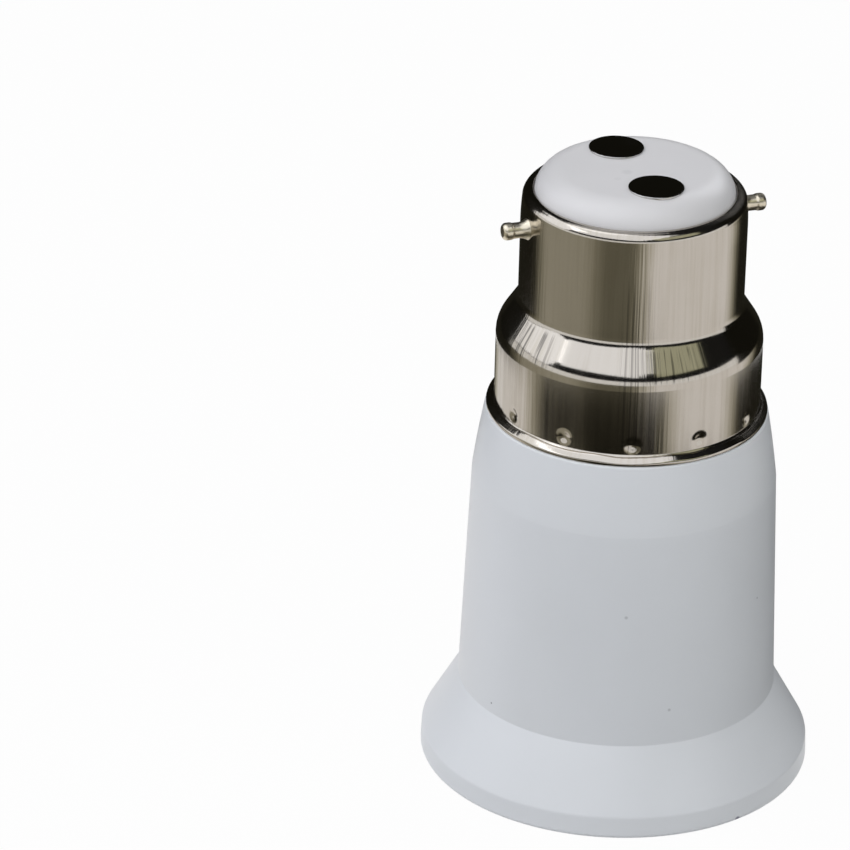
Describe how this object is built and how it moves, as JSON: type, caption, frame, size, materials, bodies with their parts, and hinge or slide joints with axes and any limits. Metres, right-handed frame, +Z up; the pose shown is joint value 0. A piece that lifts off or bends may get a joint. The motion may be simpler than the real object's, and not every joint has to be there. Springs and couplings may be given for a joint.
{
  "type": "lamp socket adapter",
  "caption": "Adapter with a nickel bayonet cap on top and a brass screw lamp holder inside a flared white skirt, to run a screw-base lamp in a bayonet lamp holder.",
  "frame": {"origin": "centre of the skirt's rim, on the surface that the adapter stands on", "axes": "+Z up the adapter's axis from the screw socket to the bayonet contacts, X through the bayonet pins, Y through the contact plates"},
  "size_m": [0.0388, 0.0388, 0.0636],
  "materials": {
    "housing": "smooth white moulding",
    "cap_nickel": "nickel plated drawn sheet",
    "pin_nickel": "nickel plated",
    "insulator": "smooth pale moulding",
    "contact_nickel": "bright nickel plate",
    "screw_brass": "bright rolled sheet",
    "rivet_nickel": "nickel plated",
    "leaf_brass": "bright sprung strip",
    "tag_brass": "tinned strip",
    "lead_sleeve": "plain sleeve"
  },
  "bodies": {
    "root": {"housing": "housing", "bayonet_cap_shell": "cap_nickel", "bayonet_pin_left": "pin_nickel", "bayonet_pin_right": "pin_nickel", "contact_insulator": "insulator", "contact_plate_front": "contact_nickel", "contact_plate_rear": "contact_nickel", "screw_shell": "screw_brass", "shell_rivet": "rivet_nickel", "centre_contact": "leaf_brass", "centre_rivet": "rivet_nickel", "live_tag": "tag_brass", "neutral_tag": "tag_brass", "live_lead": "lead_sleeve", "neutral_lead": "lead_sleeve"}
  },
  "joints": []
}
